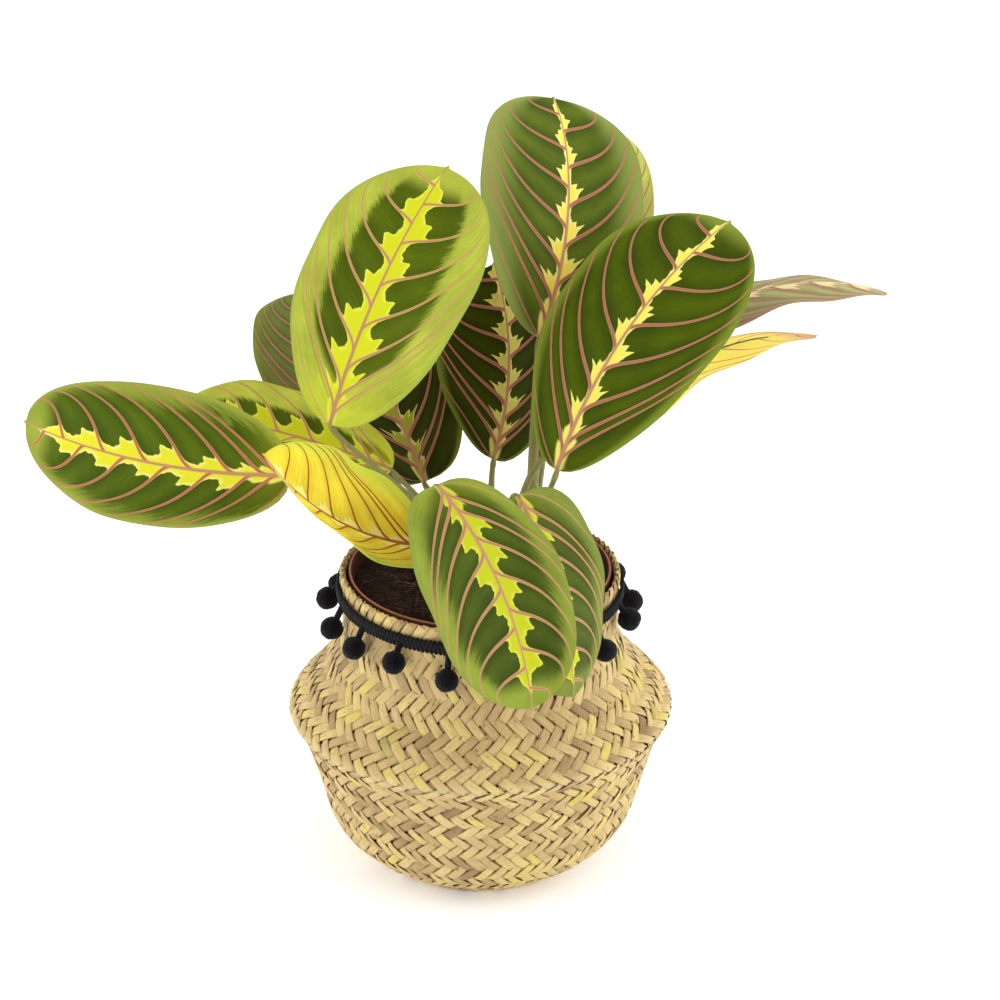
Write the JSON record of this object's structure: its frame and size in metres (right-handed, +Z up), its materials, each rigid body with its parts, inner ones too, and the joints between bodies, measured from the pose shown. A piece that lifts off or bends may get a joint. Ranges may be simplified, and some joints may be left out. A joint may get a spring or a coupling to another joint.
{
  "type": "potted prayer plant",
  "caption": "Maranta with broad oval red-veined leaves in a nursery pot, standing in a folded seagrass belly basket with a black pompom trim.",
  "frame": {"origin": "centre of the basket's flat base, on the surface that it stands on", "axes": "+Z up, -Y towards the side that the drooping front leaves face, +X to the right as seen from that side"},
  "size_m": [0.3945, 0.2788, 0.3401],
  "materials": {
    "seagrass": "dried seagrass blades plaited in a twill, straw tan with olive and yellow strands, dry and slightly waxy",
    "pot_plastic": "terracotta-coloured moulded polypropylene, satin",
    "potting_soil": "dark brown fibrous peat and coir, dull and crumbly",
    "black_cotton": "black cotton yarn, braided in the band and cut to a pile in the pompoms",
    "green_leaf": "living maranta leaf: satin green upper face with a lime feather, dark blotches and salmon-pink veins, purplish underside and stalk",
    "yellow_leaf": "ageing maranta leaf turned lemon yellow, with thin dark red veins"
  },
  "bodies": {
    "root": {"basket": "seagrass", "nursery_pot": "pot_plastic", "soil": "potting_soil", "trim_braid": "black_cotton", "pompom_01": "black_cotton", "pompom_02": "black_cotton", "pompom_03": "black_cotton", "pompom_04": "black_cotton", "pompom_05": "black_cotton", "pompom_06": "black_cotton", "pompom_07": "black_cotton", "pompom_08": "black_cotton", "pompom_09": "black_cotton", "pompom_10": "black_cotton", "pompom_11": "black_cotton", "pompom_12": "black_cotton", "pompom_13": "black_cotton", "pompom_14": "black_cotton", "pompom_15": "black_cotton", "pompom_16": "black_cotton", "pompom_17": "black_cotton", "pompom_18": "black_cotton", "leaf_01": "green_leaf", "leaf_02": "green_leaf", "leaf_03": "green_leaf", "leaf_04": "green_leaf", "leaf_05": "yellow_leaf", "leaf_06": "green_leaf", "leaf_07": "green_leaf", "leaf_08": "green_leaf", "leaf_09": "green_leaf", "leaf_10": "green_leaf", "leaf_11": "green_leaf", "leaf_12": "green_leaf", "leaf_13": "yellow_leaf", "leaf_14": "green_leaf"}
  },
  "joints": []
}
